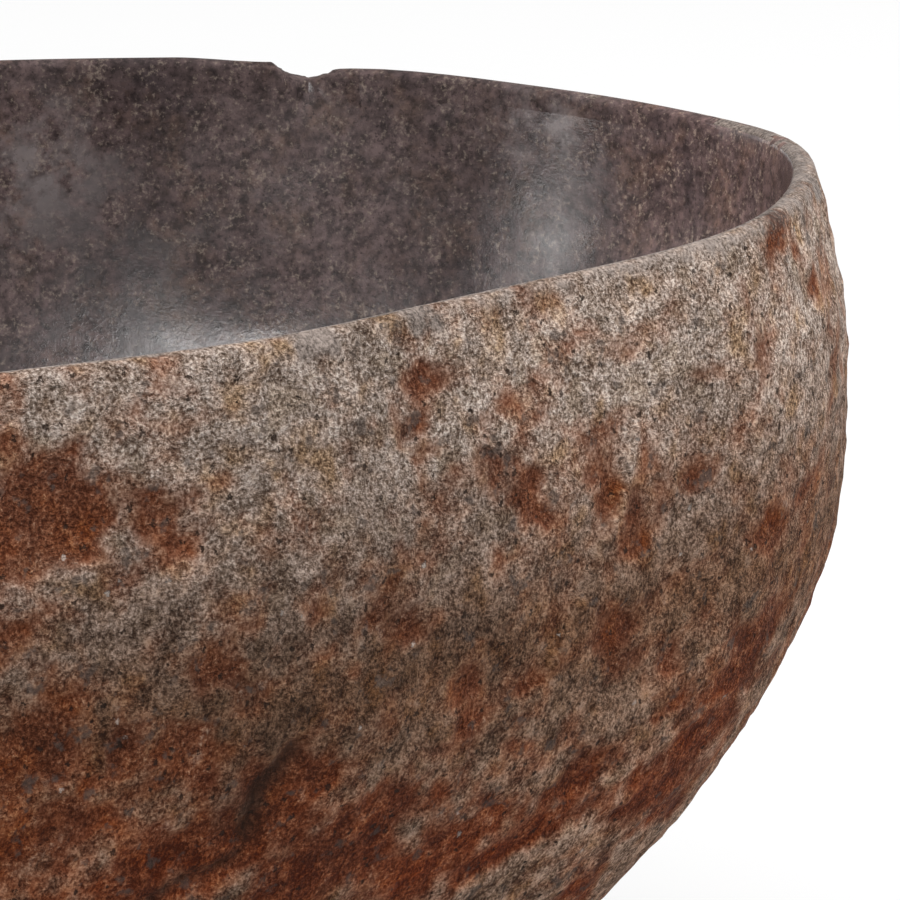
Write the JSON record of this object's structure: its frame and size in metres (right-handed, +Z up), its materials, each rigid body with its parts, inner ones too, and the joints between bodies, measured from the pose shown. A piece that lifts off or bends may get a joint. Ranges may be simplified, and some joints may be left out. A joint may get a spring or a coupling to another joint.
{
  "type": "stone bowl",
  "caption": "Egg-shaped bowl hewn from a river boulder, with a weathered rust-brown outside, a honed grey hollow, a thin ground lip and felt pads under its foot.",
  "frame": {"origin": "on the table, under the middle of the bowl's length and width", "axes": "+Z up, +X along the stone's length towards its narrow end"},
  "size_m": [0.397, 0.2704, 0.1637],
  "materials": {
    "river_stone": "weathered skin outside, honed inside",
    "pad_felt": "pressed felt"
  },
  "bodies": {
    "root": {"stone_bowl": "river_stone", "felt_pad_front_right": "pad_felt", "felt_pad_rear_right": "pad_felt", "felt_pad_rear_left": "pad_felt", "felt_pad_front_left": "pad_felt"}
  },
  "joints": []
}
